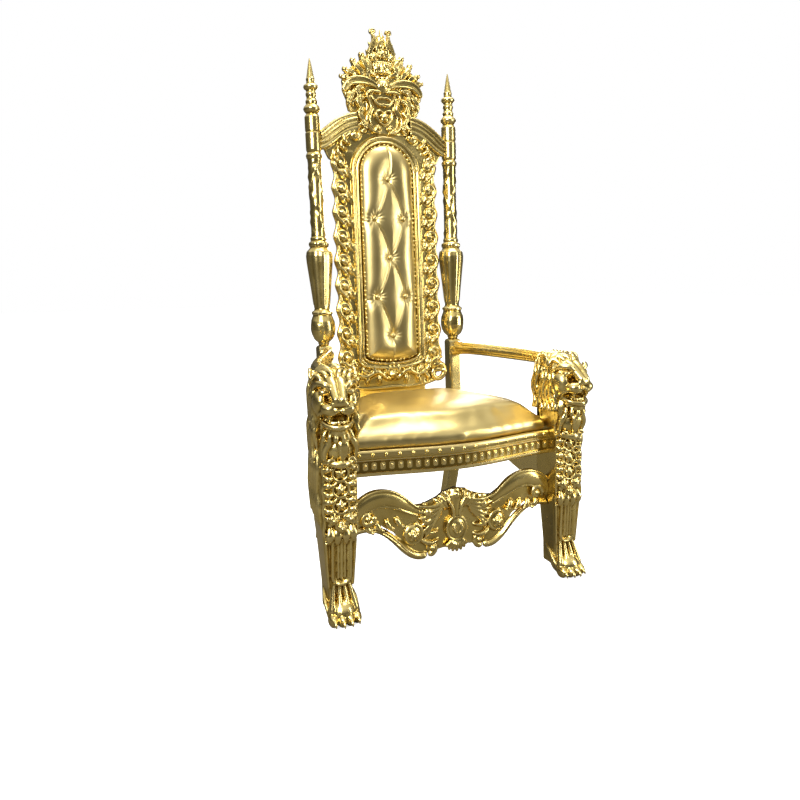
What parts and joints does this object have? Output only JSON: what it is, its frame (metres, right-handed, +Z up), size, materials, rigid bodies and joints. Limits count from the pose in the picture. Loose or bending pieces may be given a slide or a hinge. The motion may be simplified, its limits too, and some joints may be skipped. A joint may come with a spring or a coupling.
{
  "type": "throne",
  "caption": "High-backed ceremonial armchair with carved lion front legs, turned spired uprights, pierced scroll borders, a tall carved crest and a tufted back over a crowned seat",
  "frame": {"origin": "On the floor under the middle of the throne's bounding box", "axes": "+Z up along the height; the sitter faces -Y, so the back is at +Y; +X to the right seen from the front"},
  "size_m": [0.8732, 0.684, 1.7491],
  "materials": {
    "carved_gold": "glossy metallic gold paint over carved wood",
    "gold_leather": "metallic gold leatherette, semi-gloss",
    "dark_backing": "dark unfinished board, matt"
  },
  "bodies": {
    "root": {"front_leg_left": "carved_gold", "front_leg_right": "carved_gold", "rear_upright_left": "carved_gold", "rear_upright_right": "carved_gold", "arm_left": "carved_gold", "arm_right": "carved_gold", "seat_front_rail": "carved_gold", "seat_side_rail_left": "carved_gold", "seat_side_rail_right": "carved_gold", "seat_rear_rail": "carved_gold", "front_stretcher": "carved_gold", "back_frame": "carved_gold", "crest": "carved_gold", "back_panel": "dark_backing", "back_pad": "gold_leather", "seat_cushion": "gold_leather", "button_1": "gold_leather", "button_2": "gold_leather", "button_3": "gold_leather", "button_4": "gold_leather", "button_5": "gold_leather", "button_6": "gold_leather", "button_7": "gold_leather"}
  },
  "joints": []
}
